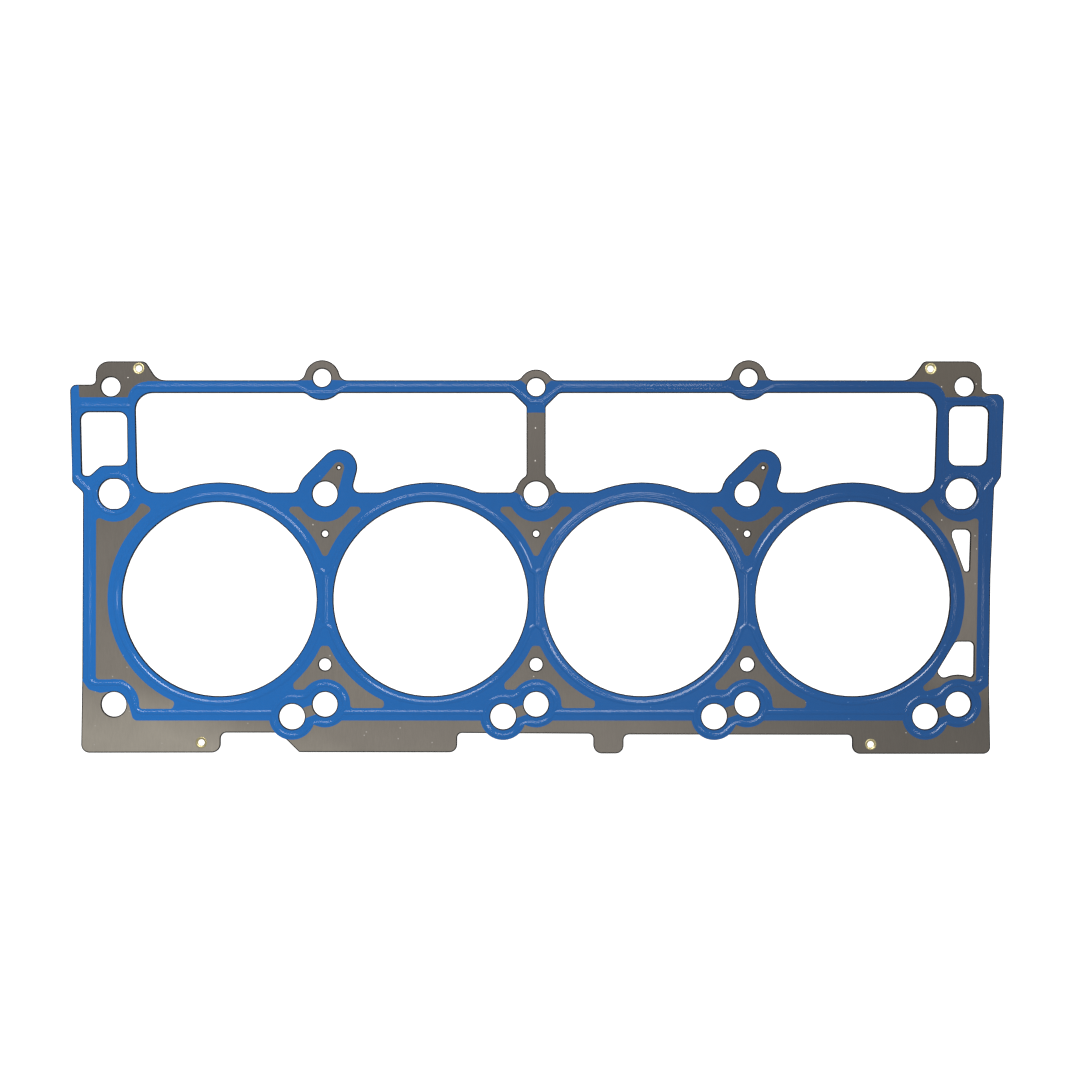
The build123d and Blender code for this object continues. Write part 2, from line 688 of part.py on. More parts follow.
def rail_bead_paths():
    """Open paths along the rail, dipping under the holes in its lugs."""
    rail_y = RAIL_OUTER_Y - RAIL_WIDTH / 2
    paths = []
    for (x, y), half in zip(lug_bolts + [middle_bolt], (7.0, 7.0, 3.0)):
        dip_y = y - LUG_BOLT_RADIUS - LUG_BEAD_OFFSET
        start, end = (x - LUG_BEAD_REACH, rail_y), (x + LUG_BEAD_REACH, rail_y)
        paths.append([start, (x - half, dip_y), (x + half, dip_y), end])
    for x, _ in lug_bolts:
        side = 1 if x > 0 else -1
        ends = (side * LUG_BEAD_REACH, x - side * LUG_BEAD_REACH)
        paths.append([(end, rail_y) for end in ends])
    return paths


def lower_bead_paths():
    """Straight paths from each pair of holes to the next."""
    reach = BOLT_HOLE_RADIUS + PAIR_BEAD_OFFSET - 1.0
    line_y = -BOLT_ROW_Y - LOWER_BEAD_DROP
    return [
        [(bolt[0] + reach, line_y), (extra[0] - reach, line_y)]
        for bolt, extra in zip(paired_bolts, extra_holes[1:])
    ]


def edge_beads():
    """The narrow beads raised in the rubber round the holes and along the edges."""
    beads = Part()
    for path in hole_bead_paths():
        beads += bead_along(path, EDGE_BEAD_WIDTH)
    for spot in dowels:
        radius = DOWEL_HOLE_RADIUS + DOWEL_BEAD_OFFSET
        beads += ring_bead(spot, radius, EDGE_BEAD_WIDTH)
    for spot in upper_bolts[1:-1]:
        beads += ring_bead(spot, BOLT_HOLE_RADIUS + BOLT_BEAD_OFFSET, EDGE_BEAD_WIDTH)
    for points, bends in end_bead_paths():
        beads += bead_along(FilletPolyline(*points, radius=bends), EDGE_BEAD_WIDTH)
    for points in rail_bead_paths() + lower_bead_paths():
        if len(points) > 2:
            path = FilletPolyline(*points, radius=EDGE_BEAD_BEND)
        else:
            path = Line(*points)
        beads += bead_along(path, EDGE_BEAD_WIDTH)
    return beads


# Pieces


def bead_layer(plan, beads):
    """A thin layer with the bore beads pressed up through it."""
    return extrude(plan, BEAD_SHEET) + Pos(0, 0, BEAD_SHEET) * beads - beads


def rubber_film(plan, beads):
    """The printed rubber, which follows the bore beads and has narrow beads of its own."""
    narrow = edge_beads() & extrude(plan, BEAD_HEIGHT)
    return extrude(plan, RUBBER_FILM) + Pos(0, 0, RUBBER_FILM) * (beads + narrow) - beads


def eyelet(spot):
    """A brass tube rolled over at both ends, clamping the layers."""
    barrel_radius = EYELET_BORE_RADIUS + EYELET_BARREL_WALL
    profile = [
        (EYELET_RIM_RADIUS, 0),
        (EYELET_RIM_RADIUS - 0.2, EYELET_RIM_HEIGHT * 0.7),
        (EYELET_RIM_RADIUS - 0.6, EYELET_RIM_HEIGHT),
        (barrel_radius, EYELET_RIM_HEIGHT * 0.6),
        (EYELET_BORE_RADIUS, -EYELET_FLARE_DEPTH),
    ]
    upper_roll = [(r, FILM_Z + z) for r, z in profile]
    lower_roll = [(r, LOWER_LAYER_Z - z) for r, z in reversed(profile)]
    seats = [(barrel_radius, LOWER_LAYER_Z), (barrel_radius, FILM_Z)]
    section = make_face(Polyline(*upper_roll, *lower_roll, *seats, close=True))
    return Pos(*spot) * revolve(Plane.XZ * section, Axis.Z)


def build():
    """Every piece of the gasket, by name."""
    plan = sheet_plan()
    beads = bore_beads()
    layer = bead_layer(plan, beads)
    film = rubber_film(print_plan(plan), beads)
    pieces = {
        "lower_rubber_film": Pos(0, 0, LOWER_LAYER_Z) * mirror(film, about=Plane.XY),
        "lower_bead_layer": Pos(0, 0, SPACER_Z) * mirror(layer, about=Plane.XY),
        "core_spacer": Pos(0, 0, SPACER_Z) * extrude(plan, SPACER_SHEET),
        "upper_bead_layer": Pos(0, 0, UPPER_LAYER_Z) * layer,
        "upper_rubber_film": Pos(0, 0, FILM_Z) * film,
    }
    for name, spot in eyelet_spots.items():
        pieces[name] = eyelet(spot)
    return pieces


os.makedirs("parts", exist_ok=True)
for name, piece in build().items():
    export_step(piece, f"parts/{name}.step")
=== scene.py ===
"""Looks of a multi-layer steel cylinder head gasket, seen from straight above."""

import math

import bmesh
import bpy
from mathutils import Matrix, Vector
from mathutils.bvhtree import BVHTree


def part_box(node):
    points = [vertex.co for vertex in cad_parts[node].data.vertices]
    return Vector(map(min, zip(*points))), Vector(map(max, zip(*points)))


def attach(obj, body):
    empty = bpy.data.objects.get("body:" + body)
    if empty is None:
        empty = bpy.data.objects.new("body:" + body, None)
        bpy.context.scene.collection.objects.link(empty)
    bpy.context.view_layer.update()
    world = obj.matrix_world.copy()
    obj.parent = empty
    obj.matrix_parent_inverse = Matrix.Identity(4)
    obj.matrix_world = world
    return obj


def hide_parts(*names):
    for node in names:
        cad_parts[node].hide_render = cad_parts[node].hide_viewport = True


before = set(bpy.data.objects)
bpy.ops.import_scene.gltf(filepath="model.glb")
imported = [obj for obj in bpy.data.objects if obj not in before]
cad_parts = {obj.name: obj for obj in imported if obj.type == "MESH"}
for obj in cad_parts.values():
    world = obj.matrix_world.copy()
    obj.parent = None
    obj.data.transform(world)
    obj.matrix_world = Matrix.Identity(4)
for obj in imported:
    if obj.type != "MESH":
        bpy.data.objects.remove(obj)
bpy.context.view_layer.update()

# Camera.
# It looks straight down on the gasket as in the photograph, near enough for the walls
# of the outer holes to show.
PHOTO_CENTRE = (0.0021, 0.0317)
PHOTO_WIDTH = 0.5806
CAMERA_HEIGHT = 0.78
SENSOR_WIDTH = 36.0

lens = bpy.data.cameras.new("photo_lens")
lens.sensor_fit = "HORIZONTAL"
lens.sensor_width = SENSOR_WIDTH
lens.lens = SENSOR_WIDTH * CAMERA_HEIGHT / PHOTO_WIDTH
lens.clip_start = 0.01
lens.clip_end = 20.0
camera = bpy.data.objects.new("photo_camera", lens)
camera.location = (*PHOTO_CENTRE, CAMERA_HEIGHT)
bpy.context.collection.objects.link(camera)
bpy.context.scene.camera = camera


# Steel layers.
# Three blanked sheets of stainless steel: a spring layer on each side of a thicker
# spacer. The grain runs from the lower edge to the upper one. Painted light makes the
# steel lighter at the lower left and darker at the upper right. Blanking leaves a
# rolled-over edge whose wall is painted near black as painted shade, and handling
# leaves a few pale specks.
# Painted light: these tones run from the lit lower left to the shaded upper right.
STEEL_PAINTED_LIGHT_TONES = (
    (0.04, (0.4, 0.366, 0.308, 1)),
    (0.13, (0.25, 0.225, 0.193, 1)),
    (0.24, (0.195, 0.176, 0.152, 1)),
    (0.38, (0.142, 0.128, 0.111, 1)),
    (0.47, (0.127, 0.115, 0.101, 1)),
    (0.6, (0.084, 0.075, 0.065, 1)),
    (0.75, (0.078, 0.069, 0.06, 1)),
    (0.95, (0.084, 0.073, 0.06, 1)),
)
STEEL_SCUFF = (0.5, 0.47, 0.43, 1)
STEEL_ROUGHNESS = 0.4
# A round patch of the steel near the right end is drawn brighter.
BRIGHT_PATCH_CENTRE = (0.232, 0.0, 0.0015)
# Painted shade: the cut walls are coloured near black.
WALL_SHADE_DARK = (0.004, 0.004, 0.004, 1)
WALL_SHADE_LIGHT = (0.016, 0.015, 0.015, 1)
DIE_ROLL = 0.0006
GRAIN_LENGTH_PER_M = 260
GRAIN_FINENESS_PER_M = 5200
STEEL_SHADE_SLOPE = 3.2
STEEL_SHADE_SPAN = (-0.5, 0.62)
STEEL_CLOUD = 0.2
STEEL_METAL = 0.85
ROUGHNESS_SWAY = 0.06
STREAK_GAIN = (0.93, 1.06)
BRIGHT_PATCH_REACH = (0.025, 0.06)
BRIGHT_PATCH_GAIN = 2.2
SPECK_RARITY = 0.82
WALL_LEAN = 0.3
FACE_LEAN = 0.7
MERGE_DISTANCE = 1e-7


def add_node(tree, kind, place, **values):
    """Adds a shader node and sets its properties and named inputs."""
    node = tree.nodes.new(kind)
    node.location = place
    for name, value in values.items():
        if name in node.inputs:
            node.inputs[name].default_value = value
        else:
            setattr(node, name, value)
    return node


def start_material(name):
    """A material with only a surface shader, and its tree."""
    material = bpy.data.materials.new(name)
    material.use_nodes = True
    tree = material.node_tree
    tree.nodes.clear()
    output = add_node(tree, "ShaderNodeOutputMaterial", (900, 0))
    surface = add_node(tree, "ShaderNodeBsdfPrincipled", (600, 0))
    tree.links.new(surface.outputs["BSDF"], output.inputs["Surface"])
    return material, tree, surface


def start_group(name, inputs, outputs):
    """A node group with named inputs and outputs."""
    group = bpy.data.node_groups.new(name, "ShaderNodeTree")
    for label, kind in inputs:
        group.interface.new_socket(label, in_out="INPUT", socket_type=kind)
    for label, kind in outputs:
        group.interface.new_socket(label, in_out="OUTPUT", socket_type=kind)
    entry = add_node(group, "NodeGroupInput", (-900, 0))
    result = add_node(group, "NodeGroupOutput", (700, 0))
    return group, entry, result


def place_group(tree, group, place, **values):
    """Puts a node group in a material with its own values."""
    node = add_node(tree, "ShaderNodeGroup", place, node_tree=group)
    for name, value in values.items():
        node.inputs[name].default_value = value
    return node


def build_grain_group():
    """Streaks of a rolled or brushed sheet, long one way and fine across."""
    group, entry, result = start_group(
        "rolled_grain",
        [
            ("Vector", "NodeSocketVector"),
            ("Along", "NodeSocketFloat"),
            ("Across", "NodeSocketFloat"),
        ],
        [("Mask", "NodeSocketFloat"), ("Broad", "NodeSocketFloat")],
    )
    join = add_node(group, "ShaderNodeCombineXYZ", (-640, -120))
    stretch = add_node(group, "ShaderNodeVectorMath", (-460, 0), operation="MULTIPLY")
    fine = add_node(group, "ShaderNodeTexNoise", (-260, 120), Scale=1.0, Detail=3.0, Roughness=0.6)
    broad = add_node(group, "ShaderNodeTexNoise", (-260, -160), Scale=0.16, Detail=2.0)
    links = group.links
    links.new(entry.outputs["Along"], join.inputs["Y"])
    links.new(entry.outputs["Across"], join.inputs["X"])
    links.new(entry.outputs["Along"], join.inputs["Z"])
    links.new(entry.outputs["Vector"], stretch.inputs[0])
    links.new(join.outputs["Vector"], stretch.inputs[1])
    links.new(stretch.outputs["Vector"], fine.inputs["Vector"])
    links.new(stretch.outputs["Vector"], broad.inputs["Vector"])
    links.new(fine.outputs["Fac"], result.inputs["Mask"])
    links.new(broad.outputs["Fac"], result.inputs["Broad"])
    return group


def build_specks_group():
    """Sparse specks of dust and small nicks."""
    group, entry, result = start_group(
        "handling_specks",
        [
            ("Vector", "NodeSocketVector"),
            ("Density", "NodeSocketFloat"),
            ("Size", "NodeSocketFloat"),
        ],
        [("Mask", "NodeSocketFloat")],
    )
    cells = add_node(
        group, "ShaderNodeTexVoronoi", (-500, 100), Scale=1.0, voronoi_dimensions="2D"
    )
    choose = add_node(group, "ShaderNodeSeparateColor", (-300, 220))
    rare = add_node(group, "ShaderNodeMath", (-120, 220), operation="GREATER_THAN")
    rare.inputs[1].default_value = SPECK_RARITY
    near = add_node(group, "ShaderNodeMath", (-120, 40), operation="LESS_THAN")
    both = add_node(group, "ShaderNodeMath", (80, 120), operation="MULTIPLY")
    links = group.links
    scale = add_node(group, "ShaderNodeVectorMath", (-700, 100), operation="SCALE")
    links.new(entry.outputs["Vector"], scale.inputs[0])
    links.new(entry.outputs["Density"], scale.inputs["Scale"])
    links.new(scale.outputs["Vector"], cells.inputs["Vector"])
    links.new(cells.outputs["Color"], choose.inputs["Color"])
    links.new(choose.outputs["Red"], rare.inputs[0])
    links.new(cells.outputs["Distance"], near.inputs[0])
    links.new(entry.outputs["Size"], near.inputs[1])
    links.new(rare.outputs["Value"], both.inputs[0])
    links.new(near.outputs["Value"], both.inputs[1])
    links.new(both.outputs["Value"], result.inputs["Mask"])
    return group


rolled_grain = build_grain_group()
handling_specks = build_specks_group()


def build_steel():
    """Rolled stainless steel with painted light: lighter at the lower left than at the upper
    right.
    """
    material, tree, surface = start_material("rolled_steel")
    links = tree.links
    place = add_node(tree, "ShaderNodeTexCoord", (-1300, 0))
    grain = place_group(
        tree,
        rolled_grain,
        (-1000, 200),
        Along=GRAIN_LENGTH_PER_M,
        Across=GRAIN_FINENESS_PER_M,
    )
    links.new(place.outputs["Object"], grain.inputs["Vector"])
    split = add_node(tree, "ShaderNodeSeparateXYZ", (-1000, -200))
    links.new(place.outputs["Object"], split.inputs["Vector"])
    # Painted light: the steel is drawn lighter at the lower left and darker at the upper right.
    slant = add_node(tree, "ShaderNodeMath", (-800, -200), operation="MULTIPLY_ADD")
    slant.inputs[1].default_value = STEEL_SHADE_SLOPE
    links.new(split.outputs["Y"], slant.inputs[0])
    links.new(split.outputs["X"], slant.inputs[2])
    shade_factor = add_node(tree, "ShaderNodeMapRange", (-600, -200))
    shade_factor.inputs["From Min"].default_value = STEEL_SHADE_SPAN[0]
    shade_factor.inputs["From Max"].default_value = STEEL_SHADE_SPAN[1]
    links.new(slant.outputs["Value"], shade_factor.inputs["Value"])
    cloud = add_node(tree, "ShaderNodeTexNoise", (-800, -420), Scale=14.0, Detail=3.0)
    links.new(place.outputs["Object"], cloud.inputs["Vector"])
    sway = add_node(tree, "ShaderNodeMath", (-420, -300), operation="MULTIPLY_ADD")
    sway.inputs[1].default_value = STEEL_CLOUD
    links.new(cloud.outputs["Fac"], sway.inputs[0])
    links.new(shade_factor.outputs["Result"], sway.inputs[2])
    shift = add_node(tree, "ShaderNodeMath", (-260, -300), operation="SUBTRACT")
    shift.inputs[1].default_value = STEEL_CLOUD / 2
    shift.use_clamp = True
    links.new(sway.outputs["Value"], shift.inputs[0])
    shaded_tone = add_node(tree, "ShaderNodeValToRGB", (-60, -100))
    steps = shaded_tone.color_ramp.elements
    steps.remove(steps[0])
    steps[0].position, steps[0].color = STEEL_PAINTED_LIGHT_TONES[0]
    for position, colour in STEEL_PAINTED_LIGHT_TONES[1:]:
        steps.new(position).color = colour
    links.new(shift.outputs["Value"], shaded_tone.inputs["Fac"])
    streaks = add_node(tree, "ShaderNodeMapRange", (-600, 220))
    streaks.inputs["From Min"].default_value = 0.3
    streaks.inputs["From Max"].default_value = 0.7
    streaks.inputs["To Min"].default_value = STREAK_GAIN[0]
    streaks.inputs["To Max"].default_value = STREAK_GAIN[1]
    links.new(grain.outputs["Mask"], streaks.inputs["Value"])
    streaked = add_node(tree, "ShaderNodeVectorMath", (160, 0), operation="SCALE")
    links.new(shaded_tone.outputs["Color"], streaked.inputs[0])
    # The steel is drawn brighter in a round patch near the right end.
    reach = add_node(tree, "ShaderNodeVectorMath", (-600, 460), operation="DISTANCE")
    reach.inputs[1].default_value = BRIGHT_PATCH_CENTRE
    links.new(place.outputs["Object"], reach.inputs[0])
    bright_patch = add_node(tree, "ShaderNodeMapRange", (-400, 460))
    bright_patch.inputs["From Min"].default_value = BRIGHT_PATCH_REACH[0]
    bright_patch.inputs["From Max"].default_value = BRIGHT_PATCH_REACH[1]
    bright_patch.inputs["To Min"].default_value = BRIGHT_PATCH_GAIN
    bright_patch.inputs["To Max"].default_value = 1.0
    links.new(reach.outputs["Value"], bright_patch.inputs["Value"])
    brighten = add_node(tree, "ShaderNodeMath", (-200, 340), operation="MULTIPLY")
    links.new(bright_patch.outputs["Result"], brighten.inputs[0])
    links.new(streaks.outputs["Result"], brighten.inputs[1])
    links.new(brighten.outputs["Value"], streaked.inputs["Scale"])
    specks = place_group(tree, handling_specks, (160, 460), Density=110.0, Size=0.035)
    links.new(place.outputs["Object"], specks.inputs["Vector"])
    scuffed = add_node(tree, "ShaderNodeMix", (300, 60), data_type="RGBA")
    scuffed.inputs[7].default_value = STEEL_SCUFF
    links.new(specks.outputs["Mask"], scuffed.inputs["Factor"])
    links.new(streaked.outputs["Vector"], scuffed.inputs[6])
    links.new(scuffed.outputs[2], surface.inputs["Base Color"])
    rough = add_node(tree, "ShaderNodeMapRange", (160, 260))
    rough.inputs["To Min"].default_value = STEEL_ROUGHNESS - ROUGHNESS_SWAY
    rough.inputs["To Max"].default_value = STEEL_ROUGHNESS + ROUGHNESS_SWAY
    links.new(grain.outputs["Broad"], rough.inputs["Value"])
    links.new(rough.outputs["Result"], surface.inputs["Roughness"])
    bump = add_node(tree, "ShaderNodeBump", (360, -260), Strength=0.2, Distance=0.00002)
    links.new(grain.outputs["Mask"], bump.inputs["Height"])
    links.new(bump.outputs["Normal"], surface.inputs["Normal"])
    surface.inputs["Metallic"].default_value = STEEL_METAL
    return material


def build_shaded_cut_wall():
    """The wall where the blanking tool cut the sheet, painted near black as painted shade."""
    material, tree, surface = start_material("shaded_cut_wall")
    links = tree.links
    place = add_node(tree, "ShaderNodeTexCoord", (-700, 0))
    tear = add_node(tree, "ShaderNodeTexNoise", (-500, 0), Scale=2400.0, Detail=2.0)
    links.new(place.outputs["Object"], tear.inputs["Vector"])
    # Painted shade: near black, with a faint random variation.
    shaded_tone = add_node(tree, "ShaderNodeMix", (-200, 0), data_type="RGBA")
    shaded_tone.inputs[6].default_value = WALL_SHADE_DARK
    shaded_tone.inputs[7].default_value = WALL_SHADE_LIGHT
    links.new(tear.outputs["Fac"], shaded_tone.inputs["Factor"])
    links.new(shaded_tone.outputs[2], surface.inputs["Base Color"])
    surface.inputs["Roughness"].default_value = 0.8
    surface.inputs["Specular IOR Level"].default_value = 0.1
    return material


def lift_sheet(node_name):
    """A merged copy of a sheet that keeps the normals of its beads."""
    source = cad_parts[node_name].data
    sheet = bmesh.new()
    sheet.from_mesh(source)
    kept = sheet.loops.layers.float_vector.new("bead_normal")
    corners = iter(source.corner_normals)
    for face in sheet.faces:
        for loop in face.loops:
            loop[kept] = next(corners).vector
    bmesh.ops.remove_doubles(sheet, verts=sheet.verts, dist=MERGE_DISTANCE)
    sheet.normal_update()
    return sheet


def find_walls(sheet):
    """The upright faces of a sheet."""
    return [face for face in sheet.faces if abs(face.normal.z) < WALL_LEAN]


def draw_in(sheet, corners, walls, reach):
    """Moves corners of a sheet inwards, square to the walls they stand on."""
    upright = set(walls)
    moves = []
    for corner in corners:
        across = Vector((0, 0, 0))
        for face in corner.link_faces:
            if face in upright:
                across += face.normal
        across.z = 0
        moves.append((corner, across.normalized() * reach))
    for corner, move in moves:
        corner.co -= move
    sheet.normal_update()


def lay_sheet(sheet, name, node_name, walls, materials):
    """Makes the piece that stands for a sheet, its walls in the last material."""
    kept = sheet.loops.layers.float_vector["bead_normal"]
    for face in walls:
        face.material_index = len(materials) - 1
        for loop in face.loops:
            loop[kept] = face.normal
    mesh = bpy.data.meshes.new(name)
    sheet.to_mesh(mesh)
    sheet.free()
    mesh.shade_smooth()
    normals = [item.vector.copy() for item in mesh.attributes["bead_normal"].data]
    mesh.attributes.remove(mesh.attributes["bead_normal"])
    mesh.normals_split_custom_set(normals)
    for material in materials:
        mesh.materials.append(material)
    piece = bpy.data.objects.new(name, mesh)
    bpy.context.collection.objects.link(piece)
    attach(piece, "root")
    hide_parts(node_name)


steel = build_steel()
shaded_cut_wall = build_shaded_cut_wall()
blanked_walls = {}
for node_name, name, outward in (
    ("lower_bead_layer", "lower_spring_layer", -1),
    ("core_spacer", "middle_spacer_sheet", 0),
    ("upper_bead_layer", "upper_spring_layer", 1),
):
    blank = lift_sheet(node_name)
    walls = find_walls(blank)
    if outward:
        upright = blank.copy()
        flat = [face for face in upright.faces if abs(face.normal.z) >= WALL_LEAN]
        bmesh.ops.delete(upright, geom=flat, context="FACES")
        blanked_walls[outward] = BVHTree.FromBMesh(upright)
        upright.free()
        rim = [
            corner
            for corner in {corner for face in walls for corner in face.verts}
            if any(face.normal.z * outward > FACE_LEAN for face in corner.link_faces)
        ]
        draw_in(blank, rim, walls, DIE_ROLL)
    lay_sheet(blank, name, node_name, walls, [steel, shaded_cut_wall])


# Printed rubber.
# A blue rubber is screen printed on both faces and cured. It is thin enough to follow
# the pressed beads, has narrow raised beads of its own, and dries to a satin skin.
# Painted shade: the blue is lighter at the lower left and darker at the upper right.
RUBBER_LIT_LEFT = (0.002, 0.132, 0.45, 1)
RUBBER_SHADED_RIGHT = (0.002, 0.052, 0.184, 1)
RUBBER_SPECK = (0.12, 0.27, 0.55, 1)
RUBBER_ROUGHNESS = 0.1
FILM_LAP = 0.00003
BEAD_RISE = 0.0002
# The bump swaps the bead's straight side for a rounded one, level at its foot and its
# crown, and this much steeper halfway.
BEAD_CREST = 2.2
RUBBER_SHADE_SLOPE = 0.7
RUBBER_SHADE_SPAN = 0.25
RUBBER_MOTTLE = 0.05
WALL_PROBE = 0.0001
WALL_NEAR = 0.00008
film_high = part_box("upper_rubber_film")[1]
core_low, core_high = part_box("core_spacer")
STACK_MIDDLE = (core_low.z + core_high.z) / 2
FLAT_HEIGHT = film_high.z - BEAD_RISE - STACK_MIDDLE


def build_rubber():
    """Satin blue rubber with a faint mottle from the print, and painted shade that darkens it
    towards the upper right.
    """
    material, tree, surface = start_material("blue_rubber_print")
    links = tree.links
    place = add_node(tree, "ShaderNodeTexCoord", (-1100, 0))
    split = add_node(tree, "ShaderNodeSeparateXYZ", (-900, -160))
    links.new(place.outputs["Object"], split.inputs["Vector"])
    # Painted shade: the blue darkens towards the upper right.
    slant = add_node(tree, "ShaderNodeMath", (-800, -160), operation="MULTIPLY_ADD")
    slant.inputs[1].default_value = RUBBER_SHADE_SLOPE
    links.new(split.outputs["Y"], slant.inputs[0])
    links.new(split.outputs["X"], slant.inputs[2])
    shade_factor = add_node(tree, "ShaderNodeMapRange", (-600, -160))
    shade_factor.inputs["From Min"].default_value = -RUBBER_SHADE_SPAN
    shade_factor.inputs["From Max"].default_value = RUBBER_SHADE_SPAN
    links.new(slant.outputs["Value"], shade_factor.inputs["Value"])
    shaded_tone = add_node(tree, "ShaderNodeMix", (-400, 0), data_type="RGBA")
    shaded_tone.inputs[6].default_value = RUBBER_LIT_LEFT
    shaded_tone.inputs[7].default_value = RUBBER_SHADED_RIGHT
    links.new(shade_factor.outputs["Result"], shaded_tone.inputs["Factor"])
    mottle = add_node(tree, "ShaderNodeTexNoise", (-700, 200), Scale=420.0, Detail=4.0)
    links.new(place.outputs["Object"], mottle.inputs["Vector"])
    gain = add_node(tree, "ShaderNodeMapRange", (-480, 260))
    gain.inputs["To Min"].default_value = 1 - RUBBER_MOTTLE
    gain.inputs["To Max"].default_value = 1 + RUBBER_MOTTLE
    links.new(mottle.outputs["Fac"], gain.inputs["Value"])
    mottled = add_node(tree, "ShaderNodeVectorMath", (-160, 60), operation="SCALE")
    links.new(shaded_tone.outputs[2], mottled.inputs[0])
    links.new(gain.outputs["Result"], mottled.inputs["Scale"])
    specks = place_group(tree, handling_specks, (-160, 460), Density=95.0, Size=0.022)
    links.new(place.outputs["Object"], specks.inputs["Vector"])
    speckled = add_node(tree, "ShaderNodeMix", (60, 60), data_type="RGBA")
    speckled.inputs[7].default_value = RUBBER_SPECK
    links.new(specks.outputs["Mask"], speckled.inputs["Factor"])
    links.new(mottled.outputs["Vector"], speckled.inputs[6])
    links.new(speckled.outputs[2], surface.inputs["Base Color"])
    level = add_node(tree, "ShaderNodeMath", (-700, -620), operation="SUBTRACT")
    level.inputs[1].default_value = STACK_MIDDLE
    links.new(split.outputs["Z"], level.inputs[0])
    outwards = add_node(tree, "ShaderNodeMath", (-540, -620), operation="ABSOLUTE")
    links.new(level.outputs["Value"], outwards.inputs[0])
    climb = add_node(tree, "ShaderNodeMapRange", (-380, -620))
    climb.inputs["From Min"].default_value = FLAT_HEIGHT
    climb.inputs["From Max"].default_value = FLAT_HEIGHT + BEAD_RISE
    links.new(outwards.outputs["Value"], climb.inputs["Value"])
    turn = add_node(tree, "ShaderNodeMath", (-200, -620), operation="MULTIPLY")
    turn.inputs[1].default_value = math.pi
    links.new(climb.outputs["Result"], turn.inputs[0])
    swell = add_node(tree, "ShaderNodeMath", (-40, -620), operation="COSINE")
    links.new(turn.outputs["Value"], swell.inputs[0])
    crest = add_node(tree, "ShaderNodeMath", (120, -620), operation="MULTIPLY")
    crest.inputs[1].default_value = -BEAD_CREST * BEAD_RISE / math.pi
    links.new(swell.outputs["Value"], crest.inputs[0])
    fall = add_node(tree, "ShaderNodeMath", (280, -620), operation="MULTIPLY_ADD")
    fall.inputs[1].default_value = -BEAD_RISE
    links.new(climb.outputs["Result"], fall.inputs[0])
    links.new(crest.outputs["Value"], fall.inputs[2])
    rounded = add_node(tree, "ShaderNodeBump", (440, -520), Strength=1.0, Distance=1.0)
    links.new(fall.outputs["Value"], rounded.inputs["Height"])
    skin = add_node(tree, "ShaderNodeTexNoise", (-700, -420), Scale=2600.0, Detail=2.0)
    links.new(place.outputs["Object"], skin.inputs["Vector"])
    bump = add_node(tree, "ShaderNodeBump", (600, -300), Strength=0.1, Distance=0.00001)
    links.new(skin.outputs["Fac"], bump.inputs["Height"])
    links.new(rounded.outputs["Normal"], bump.inputs["Normal"])
    links.new(bump.outputs["Normal"], surface.inputs["Normal"])
    surface.inputs["Roughness"].default_value = RUBBER_ROUGHNESS
    return material


rubber = build_rubber()
for node_name, name, outward in (
    ("lower_rubber_film", "lower_rubber_print", -1),
    ("upper_rubber_film", "upper_rubber_print", 1),
):
    film = lift_sheet(node_name)
    walls = find_walls(film)
    low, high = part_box("upper_bead_layer" if outward > 0 else "lower_bead_layer")
    wall_height = low.z + WALL_PROBE if outward > 0 else high.z - WALL_PROBE
    cut = []
    for corner in {corner for face in walls for corner in face.verts}:
        spot = Vector((corner.co.x, corner.co.y, wall_height))
        if blanked_walls[outward].find_nearest(spot)[3] < WALL_NEAR:
            cut.append(corner)
    draw_in(film, cut, walls, DIE_ROLL + FILM_LAP)
    lay_sheet(film, name, node_name, walls, [rubber])


# Eyelets.
# Short tubes of thin brass strip, pushed through a hole in the three steel layers and
# rolled over at both ends. The roll leaves a rounded rim with a funnel inside it.
EYELETS = (
    "eyelet_upper_left",
    "eyelet_upper_right",
    "eyelet_lower_left",
    "eyelet_lower_right",
)
EYELET_BORE = 0.0017
EYELET_WALL = 0.00035
EYELET_RIM = 0.00305
BRASS = (0.6, 0.52, 0.27, 1)
BRASS_TINT = (0.36, 0.31, 0.16, 1)
BRASS_ROUGHNESS = 0.32


def build_brass():
    """Drawn brass with a dull tint where it was rolled."""
    material, tree, surface = start_material("rolled_brass")
    links = tree.links
    place = add_node(tree, "ShaderNodeTexCoord", (-800, 0))
    tint = add_node(tree, "ShaderNodeTexNoise", (-600, 0), Scale=900.0, Detail=3.0)
    links.new(place.outputs["Object"], tint.inputs["Vector"])
    ramp = add_node(tree, "ShaderNodeMix", (-300, 0), data_type="RGBA")
    ramp.inputs[6].default_value = BRASS
    ramp.inputs[7].default_value = BRASS_TINT
    links.new(tint.outputs["Fac"], ramp.inputs["Factor"])
    links.new(ramp.outputs[2], surface.inputs["Base Color"])
    surface.inputs["Metallic"].default_value = 1.0
    surface.inputs["Roughness"].default_value = BRASS_ROUGHNESS
    return material


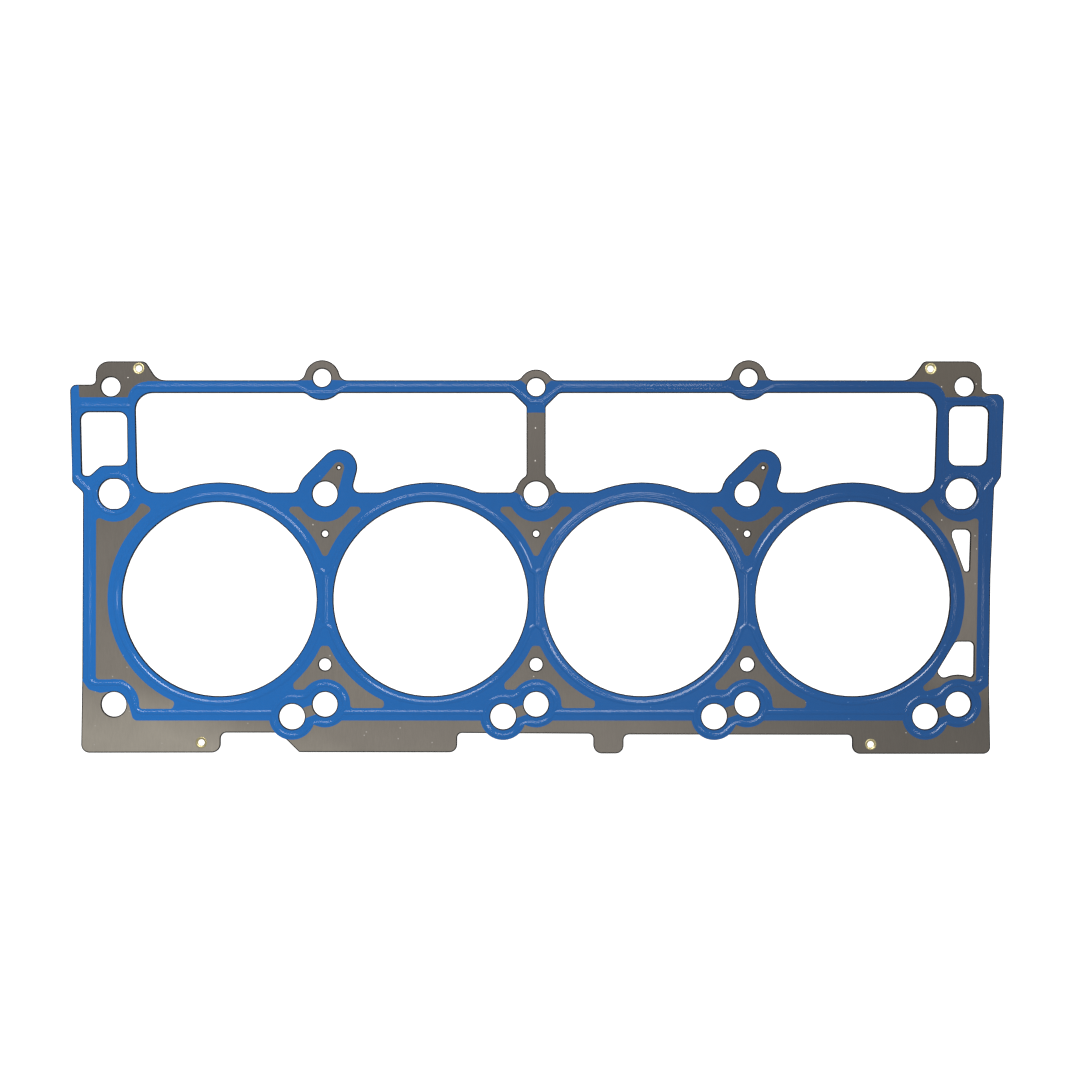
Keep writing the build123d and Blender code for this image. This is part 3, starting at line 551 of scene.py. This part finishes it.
def spin_eyelet(name, centre, low, high):
    """One eyelet, turned from the outline of its wall."""
    profile = [
        (EYELET_RIM, high - 0.00015),
        (EYELET_RIM - 0.00004, high - 0.00007),
        (EYELET_RIM - 0.00018, high - 0.00002),
        (EYELET_RIM - 0.00042, high),
        (EYELET_RIM - 0.0007, high - 0.00003),
        (EYELET_BORE + 0.0003, high - 0.00014),
        (EYELET_BORE + 0.0001, high - 0.00028),
        (EYELET_BORE, high - 0.00045),
    ]
    middle = (low + high) / 2
    lower = [(radius, 2 * middle - z) for radius, z in reversed(profile)]
    seat = EYELET_BORE + EYELET_WALL
    seats = [(seat, low + 0.00015), (seat, high - 0.00015)]
    outline = bmesh.new()
    corners = [outline.verts.new((r, 0, z)) for r, z in profile + lower + seats]
    edges = [
        outline.edges.new((corners[i], corners[(i + 1) % len(corners)]))
        for i in range(len(corners))
    ]
    bmesh.ops.spin(
        outline,
        geom=corners + edges,
        cent=(0, 0, 0),
        axis=(0, 0, 1),
        angle=math.tau,
        steps=64,
        use_merge=True,
    )
    bmesh.ops.remove_doubles(outline, verts=outline.verts, dist=MERGE_DISTANCE)
    bmesh.ops.recalc_face_normals(outline, faces=outline.faces)
    bmesh.ops.translate(outline, verts=outline.verts, vec=centre)
    mesh = bpy.data.meshes.new(name)
    outline.to_mesh(mesh)
    outline.free()
    mesh.shade_smooth()
    piece = bpy.data.objects.new(name, mesh)
    bpy.context.collection.objects.link(piece)
    return piece


brass = build_brass()
for node_name in EYELETS:
    low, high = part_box(node_name)
    middle = Vector(((low.x + high.x) / 2, (low.y + high.y) / 2, 0))
    ring = spin_eyelet(node_name.replace("eyelet", "rolled_eyelet"), middle, low.z, high.z)
    ring.data.materials.append(brass)
    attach(ring, "root")
    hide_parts(node_name)


# Floor.
# A pale sheet of paper under the gasket. The camera sees it white, and it keeps the
# gasket's faint shadow.
FLOOR_HALF = 3.0
FLOOR_WHITE = (0.86, 0.86, 0.86, 1)
FLOOR_GLOW = 0.72

floor_shape = bmesh.new()
bmesh.ops.create_grid(floor_shape, x_segments=1, y_segments=1, size=FLOOR_HALF)
bmesh.ops.translate(floor_shape, verts=floor_shape.verts, vec=(0, 0, -0.00002))
floor_mesh = bpy.data.meshes.new("paper_floor")
floor_shape.to_mesh(floor_mesh)
floor_shape.free()
floor = bpy.data.objects.new("paper_floor", floor_mesh)
bpy.context.collection.objects.link(floor)

paper, paper_tree, paper_surface = start_material("white_paper")
paper_surface.inputs["Base Color"].default_value = FLOOR_WHITE
paper_surface.inputs["Roughness"].default_value = 0.9
seen = add_node(paper_tree, "ShaderNodeLightPath", (0, 300))
seen_or_mirrored = add_node(paper_tree, "ShaderNodeMath", (200, 300), operation="MAXIMUM")
glow = add_node(paper_tree, "ShaderNodeMath", (400, 300), operation="MULTIPLY")
glow.inputs[1].default_value = FLOOR_GLOW
paper_tree.links.new(seen.outputs["Is Camera Ray"], seen_or_mirrored.inputs[0])
paper_tree.links.new(seen.outputs["Is Glossy Ray"], seen_or_mirrored.inputs[1])
paper_tree.links.new(seen_or_mirrored.outputs["Value"], glow.inputs[0])
paper_surface.inputs["Emission Color"].default_value = (1, 1, 1, 1)
paper_tree.links.new(glow.outputs["Value"], paper_surface.inputs["Emission Strength"])
floor_mesh.materials.append(paper)


# Lights.
# A broad one stands beyond the upper edge and a smaller one beyond the upper right
# corner, both away from where the flat faces mirror them, so they draw only a bright
# line along each bead. A small one hangs straight above the third bore.
def hang_light(name, spot, target, size, power):
    """A soft rectangular light aimed at a point of the gasket."""
    light = bpy.data.lights.new(name, "AREA")
    light.shape = "RECTANGLE"
    light.size, light.size_y = size
    light.energy = power
    holder = bpy.data.objects.new(name, light)
    holder.location = spot
    aim = Vector(target) - Vector(spot)
    holder.rotation_euler = aim.to_track_quat("-Z", "Y").to_euler()
    bpy.context.collection.objects.link(holder)


hang_light("key_light", (-0.15, 0.53, 1.2), (-0.15, 0.0, 0.0), (0.9, 0.26), 9.4)
hang_light("side_light", (0.95, 0.43, 1.2), (0.1, 0.0, 0.0), (0.35, 0.25), 3.0)
hang_light("window_light", (0.135, -0.05, 1.2), (0.135, -0.05, 0), (0.12, 0.1), 0.6)

world = bpy.data.worlds.new("studio")
world.use_nodes = True
world_tree = world.node_tree
background = world_tree.nodes["Background"]
world_path = add_node(world_tree, "ShaderNodeLightPath", (-600, 200))
world_shade = add_node(world_tree, "ShaderNodeMix", (-200, 0), data_type="RGBA")
world_shade.inputs[6].default_value = (0.55, 0.55, 0.55, 1)
world_shade.inputs[7].default_value = (1, 1, 1, 1)
world_tree.links.new(world_path.outputs["Is Camera Ray"], world_shade.inputs["Factor"])
world_tree.links.new(world_shade.outputs[2], background.inputs["Color"])
bpy.context.scene.world = world
bpy.context.scene.view_settings.view_transform = "Standard"
